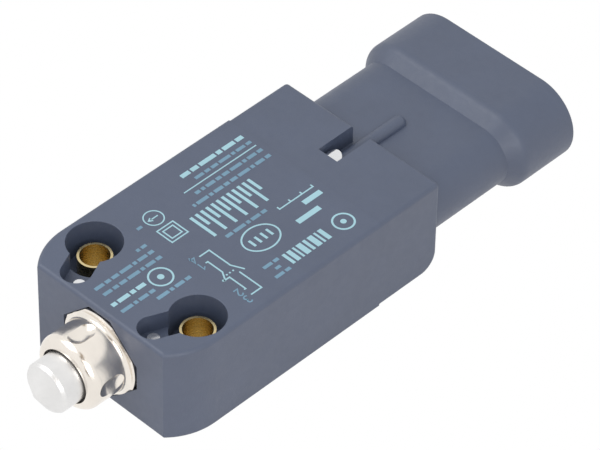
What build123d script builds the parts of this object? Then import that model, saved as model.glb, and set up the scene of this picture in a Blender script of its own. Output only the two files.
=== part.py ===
from build123d import *
import math
import os

# Limit switch with a piston plunger and a plug-in connector, in millimetres.
# Origin: midway between the two fixing holes, on the flat back face (Z = 0).
# +Z is the marked face, -Y is the plunger's side, +Y is the connector's side.

# ---- body ----
body_width = 30.0
body_height = 16.0
hole_side_margin = 5.0        # from the holes' axes to the body's sides
hole_to_front = 8.6
front_shell_length = 38.9
rear_module_length = 11.65
corner_radius = 10.0
corner_arc_depth = 7.0        # from the end face to the corner arcs' centres
edge_round = 0.6
shell_wall_side = 2.4
shell_wall_z = 2.0
module_step = 0.12            # the rear module is this much smaller all round
module_foot_round = 3.0       # the edge between the rear and back faces
edge_pick = 0.001             # how near a plane an edge lies to be picked

# ---- fixing holes ----
bush_bore_radius = 2.15
bush_radius = 2.5
bush_drop = 2.6               # from the marked face to the bush's end
counterbore_radius = 4.0
counterbore_depth = 5.5
key_slot_depth = 3.0
key_slot_radius = 2.2
key_slot_side_offset = 0.25   # from the lock pin's axis outwards to the slot's end
key_slot_overrun = 0.3        # from the lock pin's axis towards the end face
opening_round = 0.1
lock_pin_radius = 0.85
lock_pin_offset = 0.1         # from the recess's side to the pin's axis
lock_pin_setback = 3.1        # from the end face to the pin's axis
lock_pin_top_drop = 2.3
lock_pin_foot = 3.2

# ---- head ----
recess_half = 7.1             # octagonal recess: half its size across the level flats
recess_flat_half = 2.05       # half the length of a level flat
recess_depth = 5.3
head_side_clearance = 0.1
flange_gap = 0.25             # between the flange's round rim and the recess's level sides
flange_slant_gap = 0.12       # between its four flats and the recess's slanted sides
flange_bevel = 0.2
flange_proud = 0.3
flange_rim_length = 0.9
collar_radius = 5.75
collar_length = 6.6           # from the end face to the collar's rim
collar_rim_round = 1.45
collar_foot_cove = 0.7
mouth_radius = 4.22
mouth_depth = 1.8
dent_count = 4
dent_radius = 2.6
dent_sink = 0.5
dent_from_face = 2.6
dent_length = 1.3
head_tail_radius = 5.6
head_tail_length = 4.75
head_bore_radius = 4.75
tail_clearance = 0.05
guide_bush_length = 6.8
running_clearance = 0.04
wiper_length = 1.1
end_plug_length = 1.2
head_ring_width = 0.8
head_ring_length = 1.2

# ---- plunger ----
plunger_radius = 3.86
plunger_reach = 11.9          # from the end face to the tip
plunger_cone_length = 1.95
plunger_tip_radius = 0.45
plunger_edge_round = 0.3
plunger_flange_radius = 4.5
plunger_flange_length = 1.0
plunger_bore_radius = 2.8
plunger_nose_wall = 5.4       # from the tip to the end of the spring's bore
rod_radius = 1.2
rod_socket_depth = 1.6
return_spring_outer = 2.6
return_spring_wire = 0.7
rod_hole_radius = 1.5
rod_seal_radius = 2.6
rod_seal_length = 1.5

# ---- contact block ----
cavity_front_wall = 4.0       # between the head's bore and the contact cavity
block_side_clearance = 0.2
block_front_clearance = 0.2
block_rear_clearance = 0.2
block_wall = 1.5
cover_thickness = 1.5
cover_gap = 0.1
slide_half_width = 2.4
slide_clearance = 0.05
slide_split_gap = 0.2
slide_front_gap = 0.2
plunger_travel = 4.5
slide_spring_closed = 2.6     # its length with the plunger pressed in
carrier_height = 2.85
carrier_front_gap = 1.4
carrier_rear_margin = 1.8     # behind the second bridge's front
guide_rib_width = 0.9
guide_rib_height = 2.6
guide_rib_front_gap = 2.6     # behind the first bridge's front
guide_rib_rear_gap = 0.6
cover_rib_height = 3.0
cover_rib_front_gap = 1.8
cover_rib_rear_gap = 1.1
bridge_thickness = 0.6
strip_height = 1.6
strip_thickness = 0.6
strip_rise = 0.2              # above the middle of the carrier
strip_arm = 4.0
strip_wall_gap = 0.7          # from the block's inner side wall to the outer strips
strip_step = 1.6              # from the outer strips to the inner ones
contact_open_gap = 1.55
tip_radius = 0.75
tip_thickness = 0.5
tip_inset = 3.0               # from a strip's outer side to its tip
bridge_overhang = 1.4         # past the tips
nc_bridge_setback = 2.8       # from the block's inner front wall
no_bridge_from_rear = 7.1     # from the block's inner rear wall
strip_tail = 1.4              # behind the contact block
link_spring_radius = 0.8
link_spring_dx = 1.2
link_spring_front = 4.2       # from the slide's front
link_spring_rear = 1.4        # from the slide's rear
slide_spring_outer = 1.7
slide_spring_wire = 0.5
slide_spring_rise = 1.5
rivet_radius = 0.5
rivet_head_radius = 0.7
rivet_head_height = 0.4
rivet_depth = 4.0
rivet_inset = 0.75

# ---- rear module and connector ----
spigot_clearance = 0.1
spigot_length = 3.5
spigot_wall_side = 1.5
module_room_wall = 4.25
module_back_wall = 1.0
gasket_length = 1.0
gasket_depth = 0.7
gasket_setback = 1.0
neck_side_step = 1.0          # from the body's side to the neck's
neck_half_height = 4.8
neck_length = 15.2
neck_root_round = 0.3
flare_length = 2.1
flare_round = 2.0
collar_side_step = 1.75       # from the neck's side to the collar's
collar_half_height = 6.6
plug_collar_length = 10.1
mouth_edge_round = 0.3
socket_mouth_wall = 1.5
socket_mouth_depth = 8.6
socket_wall = 1.5
socket_floor_length = 6.1     # from the module's back face to the pin plate's nose
pin_plate_side_step = 2.4     # from the neck's side to the plate's
pin_plate_half_height = 2.9
pin_plate_flange = 1.5
pin_plate_side_gap = 0.1
pin_side_margin = 2.6         # from the plate's side to the outer tabs
pin_count = 4
pin_width = 1.5
pin_thickness = 0.8
pin_mouth_setback = 7.1       # from the mouth to the tabs' tips
pin_tip_taper = 1.0
pin_tip_thickness = 0.3
pin_tail = 3.4                # behind the pin plate
potting_length = 3.8
lead_radius = 0.45
lead_straight = 1.5
rib_radius = 1.1
rib_length = 7.4
rib_front_gap = 0.15          # from the clip's end to the rib
lock_slot_half_width = 1.8
lock_slot_length = 6.95
clip_width = 2.6
clip_thickness = 0.45
clip_crown_radius = 1.9
clip_drop = 0.55
clip_reach = 2.3
clip_root = 2.0
clip_leg = 2.4

# ---- places worked out from the sizes above ----
axis_z = body_height / 2
hole_pitch = body_width - 2 * hole_side_margin
y_front = -hole_to_front
lock_pin_x = recess_half + lock_pin_offset
lock_pin_y = y_front + lock_pin_setback
key_slot_dx = hole_pitch / 2 - lock_pin_x - key_slot_side_offset
key_slot_dy = key_slot_overrun - lock_pin_y
y_part = y_front + front_shell_length
y_rear = y_part + rear_module_length
y_mouth = y_rear + neck_length + flare_length + plug_collar_length
y_collar = y_mouth - plug_collar_length
y_recess = y_front + recess_depth
y_rim = y_front - collar_length
y_guide = y_rim + mouth_depth
y_tail = y_recess + head_tail_length
y_end_plug = y_tail - end_plug_length
y_bore_floor = y_tail + tail_clearance
y_tip = y_front - plunger_reach
y_cone = y_tip + plunger_cone_length
y_plunger_flange = y_guide + guide_bush_length
y_plunger_end = y_plunger_flange + plunger_flange_length
y_spring_front = y_tip + plunger_nose_wall
cavity_half = body_width / 2 - shell_wall_side
cavity_low = shell_wall_z
cavity_high = body_height - shell_wall_z
y_cavity = y_bore_floor + cavity_front_wall
block_half = cavity_half - block_side_clearance
y_spigot = y_part - spigot_length
y_block = y_cavity + block_front_clearance
y_block_end = y_spigot - block_rear_clearance
y_room = y_block + block_wall
y_room_end = y_block_end - block_wall
room_half = block_half - block_wall
room_low = cavity_low + block_wall
room_high = cavity_high - cover_gap - cover_thickness
y_slide = y_room + slide_front_gap
y_slide_end = y_room_end - slide_spring_closed - plunger_travel
carrier_low = room_low + slide_clearance
carrier_high = carrier_low + carrier_height
slide_low = carrier_high + slide_split_gap
slide_high = room_high - slide_clearance
y_carrier = y_room + carrier_front_gap
strip_z = (carrier_low + carrier_high) / 2 + strip_rise
strip_low = strip_z - strip_height / 2
strip_high = strip_z + strip_height / 2
y_nc_bridge = y_room + nc_bridge_setback
y_no_bridge = y_room_end - no_bridge_from_rear
y_carrier_end = y_no_bridge + carrier_rear_margin
nc_strip_outer_x = room_half - strip_wall_gap
no_strip_outer_x = nc_strip_outer_x - strip_step
nc_tip_x = nc_strip_outer_x - tip_inset
no_tip_x = no_strip_outer_x - tip_inset
y_strip_tail = y_block_end + strip_tail
spigot_half = cavity_half - spigot_clearance
module_room_half = spigot_half - spigot_wall_side
module_room_half_height = axis_z - module_room_wall
y_module_room_end = y_rear - module_back_wall
y_plate_flange = y_module_room_end - pin_plate_flange
y_plate_nose = y_rear + socket_floor_length
y_socket_step = y_mouth - socket_mouth_depth
y_pin_tip = y_mouth - pin_mouth_setback
y_pin_tail = y_plate_flange - pin_tail
y_potting = y_plate_flange - potting_length
y_slot = y_rear - lock_slot_length
module_half = body_width / 2 - module_step
module_low = module_step
module_high = body_height - module_step
neck_half_width = body_width / 2 - neck_side_step
neck_top = axis_z + neck_half_height
collar_half_width = neck_half_width + collar_side_step
pin_plate_half_width = neck_half_width - pin_plate_side_step
pin_pitch = 2 * (pin_plate_half_width - pin_side_margin) / (pin_count - 1)
y_clip_end = y_slot + clip_reach
y_rib = y_clip_end + rib_front_gap
pin_xs = [(i - (pin_count - 1) / 2) * pin_pitch for i in range(pin_count)]
both_sides = (-1, 1)
sin_45 = math.sqrt(0.5)


# ---- helpers ----
def block(x0, x1, y0, y1, z0, z1):
    """A box between two corners."""
    size = (abs(x1 - x0), abs(y1 - y0), abs(z1 - z0))
    return Pos((x0 + x1) / 2, (y0 + y1) / 2, (z0 + z1) / 2) * Box(*size)


def rod_y(radius, y0, y1, x=0.0, z=axis_z):
    """A cylinder along Y."""
    middle = Pos(x, (y0 + y1) / 2, z) * Rot(-90, 0, 0)
    return middle * Cylinder(radius, y1 - y0)


def rod_z(radius, z0, z1, x, y):
    """A cylinder along Z."""
    return Pos(x, y, (z0 + z1) / 2) * Cylinder(radius, z1 - z0)


def tube_y(outer, inner, y0, y1, x=0.0, z=axis_z):
    """A plain tube along Y."""
    return rod_y(outer, y0, y1, x, z) - rod_y(inner, y0, y1, x, z)


def section_plane(y):
    """The plane across the body at y, with its normal along +Y."""
    return Plane(origin=(0, y, axis_z), x_dir=(1, 0, 0), z_dir=(0, 1, 0))


def oval_face(half_width, half_height, y):
    """An oval with straight long sides, across the body at y."""
    return section_plane(y) * SlotOverall(2 * half_width, 2 * half_height)


def oval_y(half_width, half_height, y0, y1):
    """A bar of oval section along Y."""
    return extrude(oval_face(half_width, half_height, y0), y1 - y0)


def octagon_y(half, flat_half, y0, y1):
    """A prism along Y: a square whose corners are cut off at 45 degrees."""
    ring = [(flat_half, half), (half, flat_half), (half, -flat_half), (flat_half, -half)]
    ring += [(-x, -z) for x, z in ring]
    outline = section_plane(y0) * make_face(Polyline(*ring, close=True))
    return extrude(outline, y1 - y0)


def turned(profile):
    """A body of revolution about the head's axis, from (radius, y) points."""
    face = make_face(Polyline(*profile, close=True))
    return Pos(0, 0, axis_z) * revolve(face, Axis.Y)


def mirrored_pair(solid):
    """The solid and its mirror image across the middle plane."""
    return [solid, mirror(solid, about=Plane.YZ)]


def long_edges(part, z, reach):
    """The edges that lie all along the height z, no further back than reach."""
    found = part.edges().filter_by(lambda e: abs(e.bounding_box().min.Z - z) < edge_pick
                                   and abs(e.bounding_box().max.Z - z) < edge_pick)
    return found.filter_by(lambda e: e.center().Y < reach)


def added(edges, old_edges):
    """The edges that lie on none of the old ones' centres."""
    known = [e.center() for e in old_edges]
    return [e for e in edges if all((e.center() - place).length > edge_pick for place in known)]


def edges_at(part, y):
    """The edges that lie all in the plane across the body at y."""
    return part.edges().filter_by(lambda e: abs(e.bounding_box().min.Y - y) < edge_pick
                                  and abs(e.bounding_box().max.Y - y) < edge_pick)


# ---- sub-parts ----
def front_outline():
    """The front shell's outline: large corner arcs that meet the flat end at an angle."""
    half = body_width / 2
    cx = half - corner_radius
    cy = y_front + corner_arc_depth
    reach = math.sqrt(corner_radius ** 2 - corner_arc_depth ** 2)
    middle = math.atan2(-corner_arc_depth, reach) / 2
    mid = (cx + corner_radius * math.cos(middle), cy + corner_radius * math.sin(middle))
    end = (cx + reach, y_front)
    edges = [Line((-end[0], y_front), end)]
    edges += [ThreePointArc(end, mid, (half, cy))]
    edges += [Polyline((half, cy), (half, y_part), (-half, y_part), (-half, cy))]
    edges += [ThreePointArc((-half, cy), (-mid[0], mid[1]), (-end[0], y_front))]
    return make_face(Curve() + edges)


def key_slot(side):
    """The slot that runs from a fixing hole towards the end face and inwards."""
    dx, dy = key_slot_dx, key_slot_dy
    length = math.hypot(dx, dy)
    angle = math.degrees(math.atan2(-dy, -side * dx))
    centre = Pos(side * (hole_pitch - dx) / 2, -dy / 2, body_height - key_slot_depth)
    outline = Rot(0, 0, angle) * SlotCenterToCenter(length, 2 * key_slot_radius)
    return centre * extrude(outline, key_slot_depth)


def main_housing():
    """The front shell: end recess, fixing holes, head bore and contact cavity."""
    shell = extrude(front_outline(), body_height)
    for z in (0, body_height):
        shell = fillet(long_edges(shell, z, y_part - edge_round), edge_round)
    plain, floor = long_edges(shell, body_height, y_part), body_height - counterbore_depth
    for side in both_sides:
        x = side * hole_pitch / 2
        shell -= rod_z(counterbore_radius, floor, body_height, x, 0)
        shell -= key_slot(side)
    shell = fillet(added(long_edges(shell, body_height, y_part), plain), opening_round)
    for side in both_sides:
        shell -= rod_z(bush_radius, 0, floor, side * hole_pitch / 2, 0)
        shell -= lock_pin(side)
    shell -= octagon_y(recess_half, recess_flat_half, y_front, y_recess)
    shell -= rod_y(head_tail_radius + tail_clearance, y_recess, y_bore_floor)
    shell -= rod_y(head_tail_radius + head_ring_width, y_recess, y_recess + head_ring_length)
    shell -= rod_y(rod_seal_radius, y_bore_floor, y_bore_floor + rod_seal_length)
    shell -= rod_y(rod_hole_radius, y_bore_floor, y_cavity)
    shell -= block(-cavity_half, cavity_half, y_cavity, y_part, cavity_low, cavity_high)
    return shell


def lock_pin(side):
    """A pin that stands beside the head and locks it in."""
    top = body_height - lock_pin_top_drop
    return rod_z(lock_pin_radius, lock_pin_foot, top, side * lock_pin_x, lock_pin_y)


def fixing_bush(side):
    """A thin bush that lines a fixing hole."""
    x = side * hole_pitch / 2
    top = body_height - bush_drop
    return rod_z(bush_radius, 0, top, x, 0) - rod_z(bush_bore_radius, 0, top, x, 0)


def collar():
    """The head's round collar: a cove at its foot and a rounded front rim."""
    y_seat, y_rim_round = y_front - flange_proud, y_rim + collar_rim_round
    foot = collar_radius + collar_foot_cove
    cove = (foot - collar_foot_cove * sin_45, y_seat - collar_foot_cove * (1 - sin_45))
    top = collar_radius - collar_rim_round
    crown = (top + collar_rim_round * sin_45, y_rim_round - collar_rim_round * sin_45)
    edges = [Polyline((0, y_rim), (0, y_seat), (foot, y_seat))]
    edges += [ThreePointArc((foot, y_seat), cove, (collar_radius, y_seat - collar_foot_cove))]
    edges += [Line((collar_radius, y_seat - collar_foot_cove), (collar_radius, y_rim_round))]
    edges += [ThreePointArc((collar_radius, y_rim_round), crown, (top, y_rim))]
    edges += [Line((top, y_rim), (0, y_rim))]
    return Pos(0, 0, axis_z) * revolve(make_face(Curve() + edges), Axis.Y)


def dent(angle):
    """A shallow dent in the collar's side, round at both ends."""
    y_back = y_front - dent_from_face
    y_ahead = y_back - dent_length
    z = axis_z + collar_radius - dent_sink + dent_radius
    scoop = rod_y(dent_radius, y_ahead, y_back, 0, z)
    scoop += Pos(0, y_ahead, z) * Sphere(dent_radius)
    scoop += Pos(0, y_back, z) * Sphere(dent_radius)
    return scoop.rotate(Axis((0, 0, axis_z), (0, 1, 0)), angle)


def head_flange():
    """The flange round the collar's foot: a disc with four flats and a bevelled rim."""
    y0 = y_front - flange_proud
    y1 = y0 + flange_rim_length
    flat_half = recess_flat_half - flange_slant_gap / sin_45
    rim = octagon_y(recess_half, flat_half, y0, y1) & rod_y(recess_half - flange_gap, y0, y1)
    return chamfer(edges_at(rim, y0), flange_bevel)


def head_body():
    """The metal head: octagonal block, flange, dented collar and tail."""
    half = recess_half - head_side_clearance
    flat = recess_flat_half - head_side_clearance / 2
    y_block_front = y_front - flange_proud + flange_rim_length
    head = octagon_y(half, flat, y_block_front, y_recess)
    head += head_flange() + collar()
    head += rod_y(head_tail_radius, y_recess, y_tail)
    head -= rod_y(mouth_radius, y_rim, y_guide)
    head -= rod_y(head_bore_radius, y_guide, y_tail)
    for i in range(dent_count):
        head -= dent(i * 360 / dent_count)
    for side in both_sides:
        head -= lock_pin(side)
    return head


def guide_bush():
    """The bronze bush that the plunger slides in."""
    bore = plunger_radius + running_clearance
    return tube_y(head_bore_radius, bore, y_guide, y_guide + guide_bush_length)


def plunger_wiper():
    """The rubber ring in the head's mouth."""
    bore = plunger_radius + running_clearance
    return tube_y(mouth_radius, bore, y_guide - wiper_length, y_guide)


def head_end_plug():
    """The disc that closes the head and seats the return spring."""
    bore = rod_radius + running_clearance
    return tube_y(head_bore_radius, bore, y_end_plug, y_tail)


def head_ring():
    """The rubber ring between the head and the housing."""
    outer = head_tail_radius + head_ring_width
    return tube_y(outer, head_tail_radius, y_recess, y_recess + head_ring_length)


def plunger():
    """The hollow plunger with its conical tip and rear flange."""
    profile = [(0, y_tip), (plunger_tip_radius, y_tip)]
    slope = plunger_radius - plunger_edge_round
    y_shoulder = y_cone + plunger_edge_round
    profile += [(slope, y_cone - plunger_edge_round / 2), (plunger_radius, y_shoulder)]
    profile += [(plunger_radius, y_plunger_flange)]
    profile += [(plunger_flange_radius, y_plunger_flange)]
    profile += [(plunger_flange_radius, y_plunger_end), (0, y_plunger_end)]
    body = turned(profile)
    body -= rod_y(plunger_bore_radius, y_spring_front, y_plunger_end)
    return body - rod_y(rod_radius, y_spring_front - rod_socket_depth, y_spring_front)


def push_rod():
    """The rod that carries the plunger's travel to the contact slide."""
    return rod_y(rod_radius, y_spring_front - rod_socket_depth, y_slide)


def return_spring():
    """The plunger's return spring, as a plain tube of the coil's size."""
    inner = return_spring_outer - return_spring_wire
    return tube_y(return_spring_outer, inner, y_spring_front, y_end_plug)


def rod_seal():
    """The rubber ring that seals the rod in the housing wall."""
    bore = rod_radius + running_clearance
    return tube_y(rod_seal_radius, bore, y_bore_floor, y_bore_floor + rod_seal_length)


def strip_slots():
    """The slots in the block's rear wall that the strips' tails pass through."""
    slots = []
    for outer in (nc_strip_outer_x, no_strip_outer_x):
        inner = outer - strip_thickness
        slot = block(inner, outer, y_room_end, y_block_end, strip_low, strip_high)
        slots += mirrored_pair(slot)
    return slots


def rivet_places():
    """The corners of the contact block where the cover's rivets sit."""
    xs = [side * (block_half - rivet_inset) for side in both_sides]
    ys = (y_block + rivet_inset, y_block_end - rivet_inset)
    return [(x, y) for x in xs for y in ys]


def rivet(x, y):
    """A rivet that holds the cover down, its head let into the cover."""
    top = room_high + cover_thickness
    shank = rod_z(rivet_radius, room_high - rivet_depth, top - rivet_head_height, x, y)
    return shank + rod_z(rivet_head_radius, top - rivet_head_height, top, x, y)


def contact_base():
    """The open case of the contact block, with guide ribs for the carrier."""
    base = block(-block_half, block_half, y_block, y_block_end, cavity_low, room_high)
    base -= block(-room_half, room_half, y_room, y_room_end, room_low, room_high)
    base -= rod_y(rod_hole_radius, y_block, y_room)
    for slot in strip_slots():
        base -= slot
    x0 = slide_half_width + slide_clearance
    y0, y1 = y_nc_bridge + guide_rib_front_gap, y_no_bridge - guide_rib_rear_gap
    rib = block(x0, x0 + guide_rib_width, y0, y1, room_low, room_low + guide_rib_height)
    for piece in mirrored_pair(rib):
        base += piece
    for x, y in rivet_places():
        base -= rivet(x, y)
    return base


def contact_cover():
    """The lid of the contact block, with ribs that guide the slide."""
    top = room_high + cover_thickness
    cover = block(-block_half, block_half, y_block, y_block_end, room_high, top)
    x0 = slide_half_width + slide_clearance
    y0, y1 = y_room + cover_rib_front_gap, y_room_end - cover_rib_rear_gap
    rib = block(x0, x0 + guide_rib_width, y0, y1, room_high - cover_rib_height, room_high)
    for piece in mirrored_pair(rib):
        cover += piece
    for x, y in rivet_places():
        cover -= rivet(x, y)
    return cover


def link_spring(side):
    """A spring that lies half in the slide and half in the carrier."""
    z = (carrier_high + slide_low) / 2
    y0, y1 = y_slide + link_spring_front, y_slide_end - link_spring_rear
    return rod_y(link_spring_radius, y0, y1, side * link_spring_dx, z)


def contact_slide():
    """The slide that the push rod moves."""
    w = slide_half_width
    slide = block(-w, w, y_slide, y_slide_end, slide_low, slide_high)
    for side in both_sides:
        slide -= link_spring(side)
    return slide


def bridge(tip_x, y0):
    """A straight contact bridge across the carrier, a little longer than its tips need."""
    half = tip_x + bridge_overhang
    return block(-half, half, y0, y0 + bridge_thickness, strip_low, strip_high)


def bridge_carrier():
    """The carrier that holds both contact bridges."""
    w = slide_half_width
    carrier = block(-w, w, y_carrier, y_carrier_end, carrier_low, carrier_high)
    carrier -= bridge(nc_tip_x, y_nc_bridge)
    carrier -= bridge(no_tip_x, y_no_bridge)
    for side in both_sides:
        carrier -= link_spring(side)
    return carrier


def tip(x, y0):
    """A round silver contact tip."""
    return rod_y(tip_radius, y0, y0 + tip_thickness, x, strip_z)


def bridge_tips():
    """The tips on the two bridges."""
    y_nc = y_nc_bridge - tip_thickness
    y_no = y_no_bridge + bridge_thickness
    return mirrored_pair(tip(nc_tip_x, y_nc)) + mirrored_pair(tip(no_tip_x, y_no))


def fixed_tips():
    """The tips on the fixed strips."""
    y_nc = y_nc_bridge - 2 * tip_thickness
    y_no = y_no_bridge + bridge_thickness + tip_thickness + contact_open_gap
    return mirrored_pair(tip(nc_tip_x, y_nc)) + mirrored_pair(tip(no_tip_x, y_no))


def fixed_strip(outer_x, y0):
    """A fixed contact strip: a short arm, then a tail along the block to the rear."""
    arm = block(outer_x - strip_arm, outer_x, y0, y0 + strip_thickness, strip_low, strip_high)
    tail = block(outer_x - strip_thickness, outer_x, y0, y_strip_tail, strip_low, strip_high)
    return arm + tail


def slide_spring():
    """The slide's return spring, as a plain tube of the coil's size."""
    inner = slide_spring_outer - slide_spring_wire
    z = axis_z + slide_spring_rise
    return tube_y(slide_spring_outer, inner, y_slide_end, y_room_end, 0, z)


def clip_solid():
    """The rear lock clip: a rounded tongue in the slot, and a leg set in the module."""
    top = module_high - clip_drop
    w = clip_width / 2
    y_round, y_leg = y_clip_end - w, y_slot - clip_root
    middle = top - clip_crown_radius
    outline = block(-w, w, y_leg, y_round, middle, top) + rod_z(w, middle, top, 0, y_round)
    crown = tube_y(clip_crown_radius, clip_crown_radius - clip_thickness,
                   y_leg, y_clip_end, 0, middle)
    y_leg_end = y_leg + clip_thickness
    leg = block(-w, w, y_leg, y_leg_end, top - clip_leg, middle)
    leg += rod_y(clip_crown_radius, y_leg, y_leg_end, 0, middle) & outline
    return (crown & outline) + leg


def plug_body():
    """The neck, its flare and the wide oval collar, before the socket is cut."""
    neck = oval_y(neck_half_width, neck_half_height, y_rear - edge_round, y_collar)
    flare = loft([oval_face(neck_half_width, neck_half_height, y_collar - flare_length),
                  oval_face(collar_half_width, collar_half_height, y_collar)], ruled=True)
    collar = oval_y(collar_half_width, collar_half_height, y_collar, y_mouth)
    body = neck + flare + collar
    body = fillet(edges_at(body, y_collar), flare_round)
    return fillet(edges_at(body, y_mouth), mouth_edge_round)


def connector_housing():
    """The rear module with its spigot, neck, flared collar and plug socket."""
    rear = block(-module_half, module_half, y_part, y_rear, module_low, module_high)
    foot = rear.edges().filter_by(Axis.X).group_by(Axis.Y)[-1].sort_by(Axis.Z)[0]
    rear = fillet(foot, module_foot_round)
    front = edges_at(rear, y_part)
    across = [e for e in rear.edges().filter_by(Axis.X) if e.center().Z < module_high]
    rear = fillet([e for e in rear.edges() if e not in front + across], edge_round)
    half_spigot_z = axis_z - cavity_low - spigot_clearance
    rear += block(-spigot_half, spigot_half, y_spigot, y_part,
                  axis_z - half_spigot_z, axis_z + half_spigot_z)
    rear -= body_gasket()
    plain = edges_at(rear, y_rear)
    rear += plug_body()
    rear = fillet(added(edges_at(rear, y_rear), plain), neck_root_round)
    rear -= block(-lock_slot_half_width, lock_slot_half_width, y_slot, y_rear + neck_root_round,
                  neck_top, body_height)
    rib = rod_y(rib_radius, y_rib, y_rear + rib_length, 0, neck_top)
    rib += Pos(0, y_rear + rib_length, neck_top) * Sphere(rib_radius)
    rear += rib
    rear -= block(-module_room_half, module_room_half, y_spigot, y_module_room_end,
                  axis_z - module_room_half_height, axis_z + module_room_half_height)
    rear -= oval_y(pin_plate_half_width, pin_plate_half_height, y_module_room_end, y_plate_nose)
    rear -= oval_y(neck_half_width - socket_wall, neck_half_height - socket_wall,
                   y_plate_nose, y_mouth)
    rear -= oval_y(collar_half_width - socket_mouth_wall,
                   collar_half_height - socket_mouth_wall, y_socket_step, y_mouth)
    return rear - clip_solid()


def body_gasket():
    """The gasket round the spigot, between the two housings."""
    y0 = y_spigot + gasket_setback
    y1 = y0 + gasket_length
    outer = block(-cavity_half, cavity_half, y0, y1, cavity_low, cavity_high)
    inner_half = spigot_half - gasket_depth
    low = cavity_low + spigot_clearance + gasket_depth
    high = cavity_high - spigot_clearance - gasket_depth
    return outer - block(-inner_half, inner_half, y0, y1, low, high)


def connector_pin(x):
    """A flat tab with a tapered tip."""
    half_w, half_t = pin_width / 2, pin_thickness / 2
    y_taper = y_pin_tip - pin_tip_taper
    bar = block(x - half_w, x + half_w, y_pin_tail, y_taper, axis_z - half_t, axis_z + half_t)
    base = Plane(origin=(x, y_taper, axis_z), x_dir=(1, 0, 0), z_dir=(0, 1, 0))
    tip_plane = base.offset(pin_tip_taper)
    nose = loft([base * Rectangle(pin_width, pin_thickness),
                 tip_plane * Rectangle(pin_width - pin_tip_thickness, pin_tip_thickness)])
    return bar + nose


def pin_plate():
    """The moulded plate that carries the tabs."""
    gap = pin_plate_side_gap
    plate = oval_y(pin_plate_half_width - gap, pin_plate_half_height - gap,
                   y_module_room_end, y_plate_nose)
    half_x = module_room_half - gap
    half_z = module_room_half_height - gap
    plate += block(-half_x, half_x, y_plate_flange, y_module_room_end,
                   axis_z - half_z, axis_z + half_z)
    for x in pin_xs:
        plate -= connector_pin(x)
    return plate


def lead(start_x, end_x):
    """A short lead from a strip's tail to a tab's tail."""
    route = FilletPolyline((start_x, y_strip_tail, strip_z),
                           (start_x, y_strip_tail + lead_straight, strip_z),
                           (end_x, y_pin_tail - lead_straight, axis_z),
                           (end_x, y_pin_tail, axis_z), radius=lead_straight)
    section = Plane(origin=route @ 0, z_dir=route % 0) * Circle(lead_radius)
    return sweep(section, path=route)


def contact_leads():
    """The four leads, outer strips to outer tabs and inner strips to inner tabs."""
    middle = strip_thickness / 2
    outer = lead(nc_strip_outer_x - middle, pin_xs[-1])
    inner = lead(no_strip_outer_x - middle, pin_xs[-2])
    return mirrored_pair(outer) + mirrored_pair(inner)


def potting_block():
    """The resin behind the pin plate, poured round the tabs' tails and the leads."""
    half_x = module_room_half
    half_z = module_room_half_height
    resin = block(-half_x, half_x, y_potting, y_plate_flange, axis_z - half_z, axis_z + half_z)
    for x in pin_xs:
        resin -= connector_pin(x)
    for wire in contact_leads():
        resin -= wire
    return resin


nc_strip_y = y_nc_bridge - 2 * tip_thickness - strip_thickness
no_strip_y = y_no_bridge + bridge_thickness + 2 * tip_thickness + contact_open_gap
nc_strips = mirrored_pair(fixed_strip(nc_strip_outer_x, nc_strip_y))
no_strips = mirrored_pair(fixed_strip(no_strip_outer_x, no_strip_y))

nodes = {
    "main_housing": main_housing(),
    "connector_housing": connector_housing(),
    "fixing_bushes": [fixing_bush(side) for side in both_sides],
    "head_lock_pins": [lock_pin(side) for side in both_sides],
    "rear_lock_clip": clip_solid(),
    "head_body": head_body(),
    "guide_bush": guide_bush(),
    "plunger_wiper": plunger_wiper(),
    "head_end_plug": head_end_plug(),
    "head_ring": head_ring(),
    "plunger": plunger(),
    "push_rod": push_rod(),
    "return_spring": return_spring(),
    "rod_seal": rod_seal(),
    "contact_base": contact_base(),
    "contact_cover": contact_cover(),
    "cover_rivets": [rivet(x, y) for x, y in rivet_places()],
    "contact_slide": contact_slide(),
    "slide_spring": slide_spring(),
    "link_springs": [link_spring(side) for side in both_sides],
    "bridge_carrier": bridge_carrier(),
    "bridge_nc": bridge(nc_tip_x, y_nc_bridge),
    "bridge_no": bridge(no_tip_x, y_no_bridge),
    "bridge_tips": bridge_tips(),
    "fixed_contact_1": nc_strips[1],
    "fixed_contact_2": nc_strips[0],
    "fixed_contact_3": no_strips[1],
    "fixed_contact_4": no_strips[0],
    "fixed_tips": fixed_tips(),
    "connector_pins": [connector_pin(x) for x in pin_xs],
    "pin_plate": pin_plate(),
    "contact_leads": contact_leads(),
    "potting_block": potting_block(),
    "body_gasket": body_gasket(),
}

os.makedirs("parts", exist_ok=True)
for name, shape in nodes.items():
    solid = Compound(children=list(shape)) if isinstance(shape, list) else shape
    export_step(solid, f"parts/{name}.step")
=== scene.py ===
import math

import bpy
from mathutils import Matrix, Vector


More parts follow.
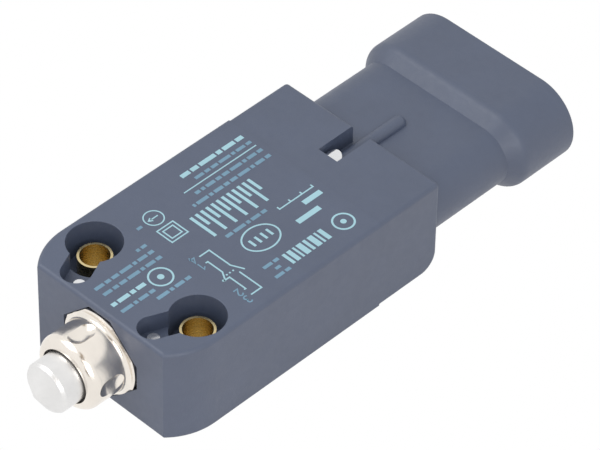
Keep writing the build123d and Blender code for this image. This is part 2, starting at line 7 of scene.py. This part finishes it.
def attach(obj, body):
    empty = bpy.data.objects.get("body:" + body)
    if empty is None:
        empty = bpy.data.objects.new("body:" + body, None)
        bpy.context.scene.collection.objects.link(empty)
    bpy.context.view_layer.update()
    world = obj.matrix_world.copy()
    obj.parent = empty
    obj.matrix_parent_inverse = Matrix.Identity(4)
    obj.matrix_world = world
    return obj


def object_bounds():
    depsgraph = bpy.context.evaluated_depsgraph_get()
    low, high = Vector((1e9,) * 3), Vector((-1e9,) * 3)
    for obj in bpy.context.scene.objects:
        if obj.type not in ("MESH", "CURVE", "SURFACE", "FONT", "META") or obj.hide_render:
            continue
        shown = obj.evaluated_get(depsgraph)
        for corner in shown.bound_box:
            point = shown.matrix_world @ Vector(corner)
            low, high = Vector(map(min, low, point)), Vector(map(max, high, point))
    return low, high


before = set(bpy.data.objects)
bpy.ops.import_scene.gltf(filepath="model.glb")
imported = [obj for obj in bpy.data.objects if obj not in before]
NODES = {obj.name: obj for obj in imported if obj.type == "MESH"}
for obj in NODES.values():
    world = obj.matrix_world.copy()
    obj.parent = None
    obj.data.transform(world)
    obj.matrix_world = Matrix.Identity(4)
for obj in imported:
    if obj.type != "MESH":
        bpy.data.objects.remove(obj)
low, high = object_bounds()

MM = 0.001

# ------------------------------------------------------------------ materials
COLOUR_MAX = 255.0
SRGB_KNEE, SRGB_SLOPE, SRGB_OFFSET, SRGB_POWER = 0.04045, 12.92, 0.055, 2.4
CLOUD_SCALE = 160             # slow flow marks in moulded plastic, features per metre
GLOSS_SCALE = 900
GLOSS_LOW, GLOSS_HIGH = 0.35, 0.65        # where the noise gives the two roughness levels
PLASTIC_MOTTLE, METAL_MOTTLE = (0.25, 0.75), (0.3, 0.7)
PLASTIC_GLOSS_SPREAD = 0.03
METAL_CLOUD_SCALE = 220
METAL_GLOSS_SCALE = 700
METAL_SMOOTHER, METAL_ROUGHER, METAL_SMOOTHEST = 0.05, 0.07, 0.03


def srgb(r, g, b):
    """A display colour, 0 to 255, as linear values."""
    out = []
    for v in (r, g, b):
        v /= COLOUR_MAX
        if v <= SRGB_KNEE:
            out.append(v / SRGB_SLOPE)
        else:
            out.append(((v + SRGB_OFFSET) / (1 + SRGB_OFFSET)) ** SRGB_POWER)
    return (*out, 1.0)


def shade(colour, k):
    """The colour made k times as bright."""
    return (colour[0] * k, colour[1] * k, colour[2] * k, 1.0)


def shades(colour, spread, places):
    """Two ramp stops, a little darker and a little brighter than the colour."""
    return list(zip(places, (shade(colour, 1 - spread), shade(colour, 1 + spread))))


class Surface:
    """A procedural material: base colour, mottle, roughness map and bump."""

    def __init__(self, name, colour, rough=0.5, metal=0.0, **extra):
        self.mat = bpy.data.materials.new(name)
        self.mat.use_nodes = True
        self.tree = self.mat.node_tree
        self.nodes = self.tree.nodes
        self.nodes.clear()
        self.out = self.nodes.new("ShaderNodeOutputMaterial")
        self.shader = self.nodes.new("ShaderNodeBsdfPrincipled")
        self.link(self.shader.outputs[0], self.out.inputs[0])
        self.shader.inputs["Base Color"].default_value = colour
        self.shader.inputs["Roughness"].default_value = rough
        self.shader.inputs["Metallic"].default_value = metal
        for key, value in extra.items():
            self.shader.inputs[key.replace("_", " ")].default_value = value
        self.coord = self.nodes.new("ShaderNodeTexCoord").outputs["Object"]

    def link(self, a, b):
        self.tree.links.new(a, b)

    def noise(self, scale, detail, rough=0.55, stretch=None):
        """Noise in object space; scale counts features per metre."""
        vector = self.coord
        if stretch:
            mapping = self.nodes.new("ShaderNodeMapping")
            mapping.inputs["Scale"].default_value = stretch
            self.link(vector, mapping.inputs["Vector"])
            vector = mapping.outputs["Vector"]
        n = self.nodes.new("ShaderNodeTexNoise")
        n.inputs["Scale"].default_value = scale
        n.inputs["Detail"].default_value = detail
        n.inputs["Roughness"].default_value = rough
        self.link(vector, n.inputs["Vector"])
        return n.outputs["Fac"]

    def ramp(self, value, stops):
        """A ramp from (place, level or colour) stops."""
        r = self.nodes.new("ShaderNodeValToRGB")
        self.link(value, r.inputs["Fac"])
        for e, (place, level) in zip(r.color_ramp.elements, stops):
            e.position = place
            e.color = level if isinstance(level, tuple) else (level, level, level, 1.0)
        return r.outputs["Color"]

    def mottle(self, value, stops):
        """Base colour through a ramp."""
        self.link(self.ramp(value, stops), self.shader.inputs["Base Color"])

    def gloss(self, value, lowest, highest):
        """Roughness between two levels."""
        self.link(self.ramp(value, [(GLOSS_LOW, lowest), (GLOSS_HIGH, highest)]),
                  self.shader.inputs["Roughness"])

    def bump(self, value, depth):
        """Relief of the given depth in metres."""
        b = self.nodes.new("ShaderNodeBump")
        b.inputs["Distance"].default_value = depth
        b.inputs["Strength"].default_value = 1.0
        self.link(value, b.inputs["Height"])
        self.link(b.outputs["Normal"], self.shader.inputs["Normal"])


def plastic(name, colour, rough, grain=3500, depth=0.00003, spread=0.06, **extra):
    """Moulded plastic with a fine eroded grain and a faint flow mottle."""
    s = Surface(name, colour, rough, **extra)
    s.mottle(s.noise(CLOUD_SCALE, detail=5.0, rough=0.6),
             shades(colour, spread, PLASTIC_MOTTLE))
    s.gloss(s.noise(GLOSS_SCALE, detail=3.0), rough - PLASTIC_GLOSS_SPREAD,
            rough + PLASTIC_GLOSS_SPREAD)
    s.bump(s.noise(grain, detail=3.0, rough=0.6), depth)
    return s.mat


def metal(name, colour, rough, spread=0.05, stretch=None, grain=2500, depth=0.000006):
    """Metal with fine working marks."""
    s = Surface(name, colour, rough, 1.0)
    s.mottle(s.noise(METAL_CLOUD_SCALE, detail=4.0, rough=0.6),
             shades(colour, spread, METAL_MOTTLE))
    s.gloss(s.noise(METAL_GLOSS_SCALE, detail=4.0, rough=0.6, stretch=stretch),
            max(rough - METAL_SMOOTHER, METAL_SMOOTHEST), rough + METAL_ROUGHER)
    s.bump(s.noise(grain, detail=3.0, rough=0.6, stretch=stretch), depth)
    return s.mat


MATERIALS = {
    "housing": plastic("housing_plastic", srgb(76, 85, 106), 0.50, Specular_IOR_Level=0.8),
    "module": plastic("module_plastic", srgb(75, 84, 105), 0.49, Specular_IOR_Level=0.8),
    "bush": metal("bush_brass", srgb(214, 196, 150), 0.26, stretch=(1, 1, 6)),
    "bright": metal("bright_steel", srgb(226, 227, 229), 0.16, grain=900, depth=0.00004),
    "nickel": metal("nickel", srgb(238, 231, 222), 0.19, stretch=(1, 6, 1)),
    "bronze": metal("bronze", srgb(172, 122, 72), 0.35, stretch=(1, 6, 1)),
    "rubber": plastic("seal_rubber", srgb(28, 26, 27), 0.6, grain=1500, depth=0.00002),
    "plunger": metal("plunger_steel", srgb(232, 231, 230), 0.36, stretch=(1, 5, 1)),
    "spring": metal("spring_steel", srgb(150, 152, 156), 0.28, stretch=(6, 1, 6)),
    "inner": plastic("inner_plastic", srgb(44, 46, 52), 0.42),
    "slide": plastic("slide_plastic", srgb(226, 220, 206), 0.42),
    "contact": metal("contact_brass", srgb(206, 170, 98), 0.24),
    "silver": metal("silver", srgb(224, 224, 222), 0.2),
    "tin": metal("tinned_pins", srgb(208, 209, 210), 0.25),
    "copper": metal("lead_copper", srgb(196, 122, 86), 0.28),
    "resin": plastic("potting_resin", srgb(24, 24, 28), 0.2, grain=500, depth=0.00002),
    "ink": plastic("ink", srgb(168, 208, 218), 0.45, spread=0.05),
    "thin_ink": plastic("thin_ink", srgb(118, 154, 176), 0.45, spread=0.12),
}

LOOKS = {
    "main_housing": "housing", "connector_housing": "module", "fixing_bushes": "bush",
    "head_lock_pins": "bright", "rear_lock_clip": "bright", "head_body": "nickel",
    "guide_bush": "bronze", "plunger_wiper": "rubber", "head_end_plug": "bronze",
    "head_ring": "rubber", "plunger": "plunger", "push_rod": "bright",
    "return_spring": "spring", "rod_seal": "rubber", "contact_base": "inner",
    "contact_cover": "inner", "cover_rivets": "contact", "contact_slide": "slide",
    "slide_spring": "spring", "link_springs": "spring", "bridge_carrier": "slide",
    "bridge_nc": "contact", "bridge_no": "contact", "bridge_tips": "silver",
    "fixed_contact_1": "contact", "fixed_contact_2": "contact",
    "fixed_contact_3": "contact", "fixed_contact_4": "contact", "fixed_tips": "silver",
    "connector_pins": "tin", "pin_plate": "inner", "contact_leads": "copper",
    "potting_block": "resin", "body_gasket": "rubber",
}

for name, look in LOOKS.items():
    data = NODES[name].data
    data.materials.clear()
    data.materials.append(MATERIALS[look])

# ----------------------------------------------------------------------- ink
# All places are in millimetres on the marked face.
INK_LOW, INK_HIGH = 16.002, 16.014        # the film's two faces
STROKE = 0.24
MITRE_LIMIT = 0.5                         # a corner is at most twice as wide as its line
ROW_GAP = 0.32
HAIR = 0.00001                            # keeps a point's two edges apart

DIGIT_HEIGHT, DIGIT_STROKE = 1.35, 0.2
DIGITS = {
    1: [[(0.05, 0.72), (0.36, 1.0), (0.36, 0.0)]],
    2: [[(0.04, 0.78), (0.12, 0.93), (0.30, 1.0), (0.48, 0.93), (0.55, 0.76), (0.46, 0.55),
         (0.06, 0.02), (0.60, 0.02)]],
    3: [[(0.05, 0.88), (0.25, 1.0), (0.45, 0.95), (0.53, 0.76), (0.44, 0.58), (0.26, 0.52)],
        [(0.26, 0.52), (0.48, 0.45), (0.57, 0.26), (0.47, 0.06), (0.27, 0.0), (0.04, 0.10)]],
    4: [[(0.46, 0.0), (0.46, 1.0), (0.02, 0.30), (0.64, 0.30)]],
}
TERMINAL_NUMBERS = ((4, 1.35, 7.35), (1, 3.0, 7.3), (2, 10.1, 7.35), (3, 11.8, 7.35))

CONTACT_LINES = (
    [(2.12, 8.0), (2.12, 9.85), (6.2, 9.85), (8.1, 10.75)],
    [(7.95, 9.82), (12.18, 9.82), (12.18, 7.85)],
    [(3.6, 7.75), (3.6, 8.15), (6.4, 8.15), (7.62, 7.42)],
    [(7.78, 7.1), (7.78, 8.13), (10.85, 8.13), (10.85, 7.85)],
)
CONTACT_HOOK = ([(7.6, 7.3), (7.45, 7.0)], [(8.0, 7.3), (7.78, 6.85)])
LINK_X, LINK_YS, LINK_DOT = 7.2, (8.2, 8.78, 9.4), 0.15

ARROW_X, ARROW_RING_Y, ARROW_RING_RADIUS = -7.7, 8.9, 1.55
ARROW_TOP, ARROW_NECK, ARROW_BARB, ARROW_TIP = 9.7, 8.3, 8.5, 7.75
ARROW_HALF, SYMBOL_STROKE = 0.45, 0.2
SQUARES_X, SQUARES_Y, SQUARE_HALVES, SQUARE_STROKE = -3.95, 8.85, (1.5, 0.92), 0.22

CHART_BARS = ((3.0, 3.22, 22.3, 29.0), (4.1, 5.0, 25.6, 29.0), (6.2, 7.1, 22.3, 26.6))
CHART_TICK_X, CHART_TICK_YS, CHART_TICK_HALF = (2.6, 3.0), (22.41, 24.6, 26.79, 28.89), 0.11

PLUG_X, PLUG_Y, PLUG_RX, PLUG_RY, PLUG_STROKE = 5.3, 16.6, 2.45, 3.1, 0.26
TAB_COUNT, TAB_PITCH, TAB_X, TAB_HALF = 4, 1.1, (4.6, 6.0), 0.2

SCALE_BARS, SCALE_LEFT, SCALE_LONG, SCALE_SHORT = 12, -4.2, 0.75, -1.5
SCALE_START, SCALE_THICK = 12.25, 0.5

BOLD_ROWS = ((-10.95, 0.75, 17.3, 29.2, (1.3, 2.2, 0.9, 3.0)),
             (0.7, 0.7, -6.9, -0.8, (1.5, 0.8, 2.0)))
BLOCK_X, BLOCK_TOP = (9.7, 12.0), 23.6
BLOCK_BARS = ((0.7, 0.4), (0.35, 0.35), (0.9, 0.4), (0.5, 0.35), (0.9, 0.35), (0.35, 0.4),
              (0.7, 0.35), (0.5, 0.3))
LONG_RULE = (-8.45, -8.25, 15.3, 29.3)
TARGETS = ((10.9, 26.9, 1.7, 0.3, 0.45), (1.25, 1.6, 1.85, 0.28, 0.5))

THIN_DASHES = (0.9, 1.6, 0.6, 2.1, 1.2)
THIN_ROWS = (
    (-9.4, 0.55, 18.3, 29.3), (-7.2, 0.6, 16.4, 29.3), (-5.6, 0.6, 14.4, 29.3),
    (1.9, 0.6, 12.7, 21.0), (12.2, 0.55, 12.3, 15.3), (11.0, 0.5, 13.2, 14.6),
    (9.8, 0.55, 12.2, 15.4), (-4.6, 0.55, 2.7, 4.5), (-3.1, 0.6, -6.7, 4.4),
    (-1.55, 0.6, -6.3, 4.4), (2.45, 0.6, -6.8, -0.7), (4.0, 0.6, -2.3, 4.5),
    (-7.6, 0.5, 5.5, 6.6),
)


class Print:
    """Flat ink shapes that make one piece on the marked face."""

    def __init__(self, name, look="ink"):
        self.name, self.look = name, look
        self.verts, self.faces = [], []

    def strip(self, left, right, closed=False):
        """A closed film between two edges with as many points each."""
        n, base = len(left), len(self.verts)
        for z in (INK_LOW, INK_HIGH):
            for side in (left, right):
                self.verts += [(x * MM, y * MM, z * MM) for x, y in side]
        low_l, low_r, top_l, top_r = (base + k * n for k in range(4))
        for i in range(n if closed else n - 1):
            j = (i + 1) % n
            self.faces += [(top_l + i, top_l + j, top_r + j, top_r + i),
                           (low_l + i, low_r + i, low_r + j, low_l + j),
                           (low_l + i, low_l + j, top_l + j, top_l + i),
                           (low_r + j, low_r + i, top_r + i, top_r + j)]
        if not closed:
            self.faces += [(low_r, low_l, top_l, top_r),
                           (low_l + n - 1, low_r + n - 1, top_r + n - 1, top_l + n - 1)]

    def bar(self, x0, x1, y0, y1):
        """A rectangle."""
        self.strip([(x0, y0), (x0, y1)], [(x1, y0), (x1, y1)])

    def stroke(self, points, width=STROKE, closed=False):
        """A line of even width with mitred corners."""
        n, left, right = len(points), [], []
        for i, (x, y) in enumerate(points):
            ways = []
            if closed or i > 0:
                px, py = points[i - 1]
                ways.append(Vector((x - px, y - py)).normalized())
            if closed or i < n - 1:
                qx, qy = points[(i + 1) % n]
                ways.append(Vector((qx - x, qy - y)).normalized())
            along = sum(ways, Vector((0, 0))).normalized()
            half = width / 2 / max(along.dot(ways[0]), MITRE_LIMIT)
            across = Vector((-along[1], along[0])) * half
            left.append((x - across[0], y - across[1]))
            right.append((x + across[0], y + across[1]))
        self.strip(right, left, closed)

    def ring(self, x, y, rx, ry, width, sides=56):
        """An oval line inside the two radii."""
        turns = [2 * math.pi * i / sides for i in range(sides)]
        inner = [(x + (rx - width) * math.cos(a), y + (ry - width) * math.sin(a))
                 for a in turns]
        outer = [(x + rx * math.cos(a), y + ry * math.sin(a)) for a in turns]
        self.strip(inner, outer, True)

    def dot(self, x, y, r, sides=20):
        """A filled circle."""
        turns = [math.pi * i / sides for i in range(sides + 1)]
        self.strip([(x + r * math.cos(a), y + r * math.sin(a)) for a in turns],
                   [(x + r * math.cos(a), y - r * math.sin(a)) for a in turns])

    def digit(self, number, x, y):
        """A numeral whose top points to +X, read towards -Y."""
        for line in DIGITS[number]:
            self.stroke([(x + v * DIGIT_HEIGHT, y - u * DIGIT_HEIGHT) for u, v in line],
                        DIGIT_STROKE)

    def row(self, x, height, y0, y1, dashes):
        """Plain dashes in a row, from y1 down to y0, where small print would be."""
        y, k = y1, 0
        while y > y0 + ROW_GAP:
            end = max(y - dashes[k % len(dashes)], y0)
            self.bar(x - height / 2, x + height / 2, end, y)
            y, k = end - ROW_GAP, k + 1

    def place(self):
        """Makes the piece, which rides on the housing."""
        mesh = bpy.data.meshes.new(self.name)
        mesh.from_pydata(self.verts, [], self.faces)
        mesh.materials.append(MATERIALS[self.look])
        obj = bpy.data.objects.new(self.name, mesh)
        bpy.context.scene.collection.objects.link(obj)
        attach(obj, "housing")


def contact_diagram():
    """The change-over contacts as lines, with the four terminal numbers."""
    p = Print("ink_contact_diagram")
    for line in CONTACT_LINES:
        p.stroke(line)
    p.strip(*CONTACT_HOOK)
    for y in LINK_YS:
        p.dot(LINK_X, y, LINK_DOT)
    p.place()
    numbers = Print("ink_terminal_numbers", "thin_ink")
    for number, x, y in TERMINAL_NUMBERS:
        numbers.digit(number, x, y)
    numbers.place()


def symbols():
    """The arrow in a ring and the double square."""
    p = Print("ink_symbols")
    p.ring(ARROW_X, ARROW_RING_Y, ARROW_RING_RADIUS, ARROW_RING_RADIUS, SYMBOL_STROKE)
    p.stroke([(ARROW_X, ARROW_TOP), (ARROW_X, ARROW_NECK)], SYMBOL_STROKE)
    p.strip([(ARROW_X - ARROW_HALF, ARROW_BARB), (ARROW_X, ARROW_TIP)],
            [(ARROW_X + ARROW_HALF, ARROW_BARB), (ARROW_X, ARROW_TIP + HAIR)])
    x, y = SQUARES_X, SQUARES_Y
    for half in SQUARE_HALVES:
        p.stroke([(x - half, y - half), (x + half, y - half), (x + half, y + half),
                  (x - half, y + half)], SQUARE_STROKE, True)
    p.place()


def travel_chart():
    """Two bars beside a line with ticks: which contact is closed along the travel."""
    p = Print("ink_travel_chart")
    for bar in CHART_BARS:
        p.bar(*bar)
    for y in CHART_TICK_YS:
        p.bar(*CHART_TICK_X, y - CHART_TICK_HALF, y + CHART_TICK_HALF)
    p.place()


def pin_picture():
    """The plug's oval face with its four tabs."""
    p = Print("ink_pin_picture")
    p.ring(PLUG_X, PLUG_Y, PLUG_RX, PLUG_RY, PLUG_STROKE)
    for i in range(TAB_COUNT):
        y = PLUG_Y + (i - (TAB_COUNT - 1) / 2) * TAB_PITCH
        p.bar(*TAB_X, y - TAB_HALF, y + TAB_HALF)
    p.place()


def scale():
    """A plain ruler of long and short bars, 1 mm apart."""
    p = Print("ink_scale")
    for i in range(SCALE_BARS):
        right = SCALE_SHORT if i % 2 else SCALE_LONG
        p.bar(SCALE_LEFT, right, SCALE_START + i, SCALE_START + SCALE_THICK + i)
    p.place()


def rows():
    """Rows of dashes, bars and rings that stand where the print would be."""
    bold = Print("ink_bold_rows")
    for row in BOLD_ROWS:
        bold.row(*row)
    y = BLOCK_TOP
    for width, gap in BLOCK_BARS:
        bold.bar(*BLOCK_X, y - width, y)
        y -= width + gap
    bold.bar(*LONG_RULE)
    for x, y, radius, width, middle in TARGETS:
        bold.ring(x, y, radius, radius, width)
        bold.dot(x, y, middle)
    bold.place()
    thin = Print("ink_thin_rows", "thin_ink")
    for row in THIN_ROWS:
        thin.row(*row, THIN_DASHES)
    thin.place()


contact_diagram()
symbols()
travel_chart()
pin_picture()
scale()
rows()

# --------------------------------------------------------------------- stage
FLOOR_HALF, FLOOR_GAP = 3.0, 0.00002
FLOOR_COLOUR = srgb(250, 240, 232)
SKY_COLOUR, SKY_STRENGTH = (0.93, 0.97, 1.0, 1), 0.62
WHITE = (1, 1, 1, 1)
GAP_TINTS = ((0.0, srgb(70, 52, 36)), (0.5, srgb(176, 160, 140)), (1.0, WHITE))

# The dark gaps that mirrors see in the white tent: direction, half angles of the
# core and the edge in degrees, brightness left in the core.
GAPS = [
    ((0.28, -0.10, 0.95), (3, 12), 0.35),
    ((0.42, -0.42, 0.80), (5, 15), 0.0),
    ((0.49, -0.62, 0.61), (5, 15), 0.0),
    ((0.50, -0.86, 0.10), (4, 12), 0.1),
]

# The square lamps: name, place and side in metres, power in watts.
LAMPS = [
    ("key", (-0.22, -0.20, 0.45), 0.34, 0.9),
    ("fill", (0.42, -0.25, 0.30), 0.40, 1.2),
]
LAMP_AIM = Vector((0, 0.02, 0))


def math_node(nodes, links, operation, a, b):
    """The result of one operation on two sockets."""
    node = nodes.new("ShaderNodeMath")
    node.operation = operation
    links.new(a, node.inputs[0])
    links.new(b, node.inputs[1])
    return node.outputs[0]


def seen_directly(nodes, links):
    """One for rays from the camera, mirrors and glass, zero for the rest."""
    rays = nodes.new("ShaderNodeLightPath").outputs
    mirror = math_node(nodes, links, "MAXIMUM", rays["Is Camera Ray"], rays["Is Glossy Ray"])
    return math_node(nodes, links, "MAXIMUM", mirror, rays["Is Transmission Ray"])


def mix_by_ray(nodes, links, unseen, seen, out):
    """Shows one shader to direct rays and the other to scattered light."""
    mix = nodes.new("ShaderNodeMixShader")
    links.new(seen_directly(nodes, links), mix.inputs[0])
    links.new(unseen.outputs[0], mix.inputs[1])
    links.new(seen.outputs[0], mix.inputs[2])
    links.new(mix.outputs[0], out.inputs[0])


def make_floor():
    """A floor that looks white and throws back slightly warm light."""
    mesh = bpy.data.meshes.new("studio_floor")
    s, z = FLOOR_HALF, low[2] - FLOOR_GAP
    mesh.from_pydata([(-s, -s, z), (s, -s, z), (s, s, z), (-s, s, z)], [], [(0, 1, 2, 3)])
    obj = bpy.data.objects.new("studio_floor", mesh)
    bpy.context.scene.collection.objects.link(obj)
    mat = bpy.data.materials.new("studio_floor")
    mat.use_nodes = True
    nodes, links = mat.node_tree.nodes, mat.node_tree.links
    nodes.clear()
    out = nodes.new("ShaderNodeOutputMaterial")
    white = nodes.new("ShaderNodeEmission")
    white.inputs["Color"].default_value = WHITE
    white.inputs["Strength"].default_value = 1.0
    board = nodes.new("ShaderNodeBsdfDiffuse")
    board.inputs["Color"].default_value = FLOOR_COLOUR
    mix_by_ray(nodes, links, board, white, out)
    mesh.materials.append(mat)


def make_world():
    """A white tent; mirrors also see the dark gaps in it."""
    world = bpy.data.worlds.new("studio")
    bpy.context.scene.world = world
    world.use_nodes = True
    nodes, links = world.node_tree.nodes, world.node_tree.links
    nodes.clear()
    out = nodes.new("ShaderNodeOutputWorld")
    soft = nodes.new("ShaderNodeBackground")
    soft.inputs["Color"].default_value = SKY_COLOUR
    soft.inputs["Strength"].default_value = SKY_STRENGTH
    tent = nodes.new("ShaderNodeBackground")
    tent.inputs["Strength"].default_value = 1.0
    way = nodes.new("ShaderNodeTexCoord").outputs["Generated"]
    total = None
    for direction, (core, edge), depth in GAPS:
        dot = nodes.new("ShaderNodeVectorMath")
        dot.operation = "DOT_PRODUCT"
        dot.inputs[1].default_value = Vector(direction).normalized()
        links.new(way, dot.inputs[0])
        fade = nodes.new("ShaderNodeMapRange")
        fade.interpolation_type = "SMOOTHSTEP"
        fade.inputs["From Min"].default_value = math.cos(math.radians(edge))
        fade.inputs["From Max"].default_value = math.cos(math.radians(core))
        fade.inputs["To Min"].default_value = 1.0
        fade.inputs["To Max"].default_value = depth
        links.new(dot.outputs["Value"], fade.inputs["Value"])
        part = fade.outputs["Result"]
        total = math_node(nodes, links, "MULTIPLY", total, part) if total else part
    ramp = nodes.new("ShaderNodeValToRGB")
    links.new(total, ramp.inputs["Fac"])
    band = ramp.color_ramp
    band.elements.new(GAP_TINTS[1][0])
    for element, (place, colour) in zip(band.elements, GAP_TINTS):
        element.position, element.color = place, colour
    links.new(ramp.outputs["Color"], tent.inputs["Color"])
    mix_by_ray(nodes, links, soft, tent, out)


def make_lamps():
    """Area lamps turned to the aim."""
    for name, place, size, power in LAMPS:
        light = bpy.data.lights.new(name, "AREA")
        light.energy = power
        light.size = size
        obj = bpy.data.objects.new(name, light)
        obj.location = Vector(place)
        obj.rotation_euler = (LAMP_AIM - obj.location).to_track_quat("-Z", "Y").to_euler()
        bpy.context.scene.collection.objects.link(obj)


make_floor()
make_world()
make_lamps()

# -------------------------------------------------------------------- camera
AZIMUTH, ELEVATION, ROLL = (math.radians(a) for a in (43.789, 43.424, -1.167))
TARGET = Vector((0, 0.02102, 0.00785))
RIGHTWARD, DOWNWARD, DISTANCE = -0.006085, 0.002901, 0.57700
LENS, SENSOR_WIDTH = 250.4, 36.0
CLIP_START, CLIP_END = 0.01, 20.0

forward = Vector((-math.sin(AZIMUTH) * math.cos(ELEVATION),
                  math.cos(AZIMUTH) * math.cos(ELEVATION), -math.sin(ELEVATION)))
level = Vector((math.cos(AZIMUTH), math.sin(AZIMUTH), 0))
plumb = forward.cross(level)
right = math.cos(ROLL) * level + math.sin(ROLL) * plumb
down = -math.sin(ROLL) * level + math.cos(ROLL) * plumb
eye = TARGET - (right * RIGHTWARD + down * DOWNWARD + forward * DISTANCE)

cam_data = bpy.data.cameras.new("camera")
cam_data.lens = LENS
cam_data.sensor_width = SENSOR_WIDTH
cam_data.clip_start = CLIP_START
cam_data.clip_end = CLIP_END
cam = bpy.data.objects.new("camera", cam_data)
cam.matrix_world = Matrix(
    [(right[i], -down[i], -forward[i], eye[i]) for i in range(3)] + [(0, 0, 0, 1)])
bpy.context.scene.collection.objects.link(cam)
bpy.context.scene.camera = cam
bpy.context.scene.view_settings.view_transform = "Standard"
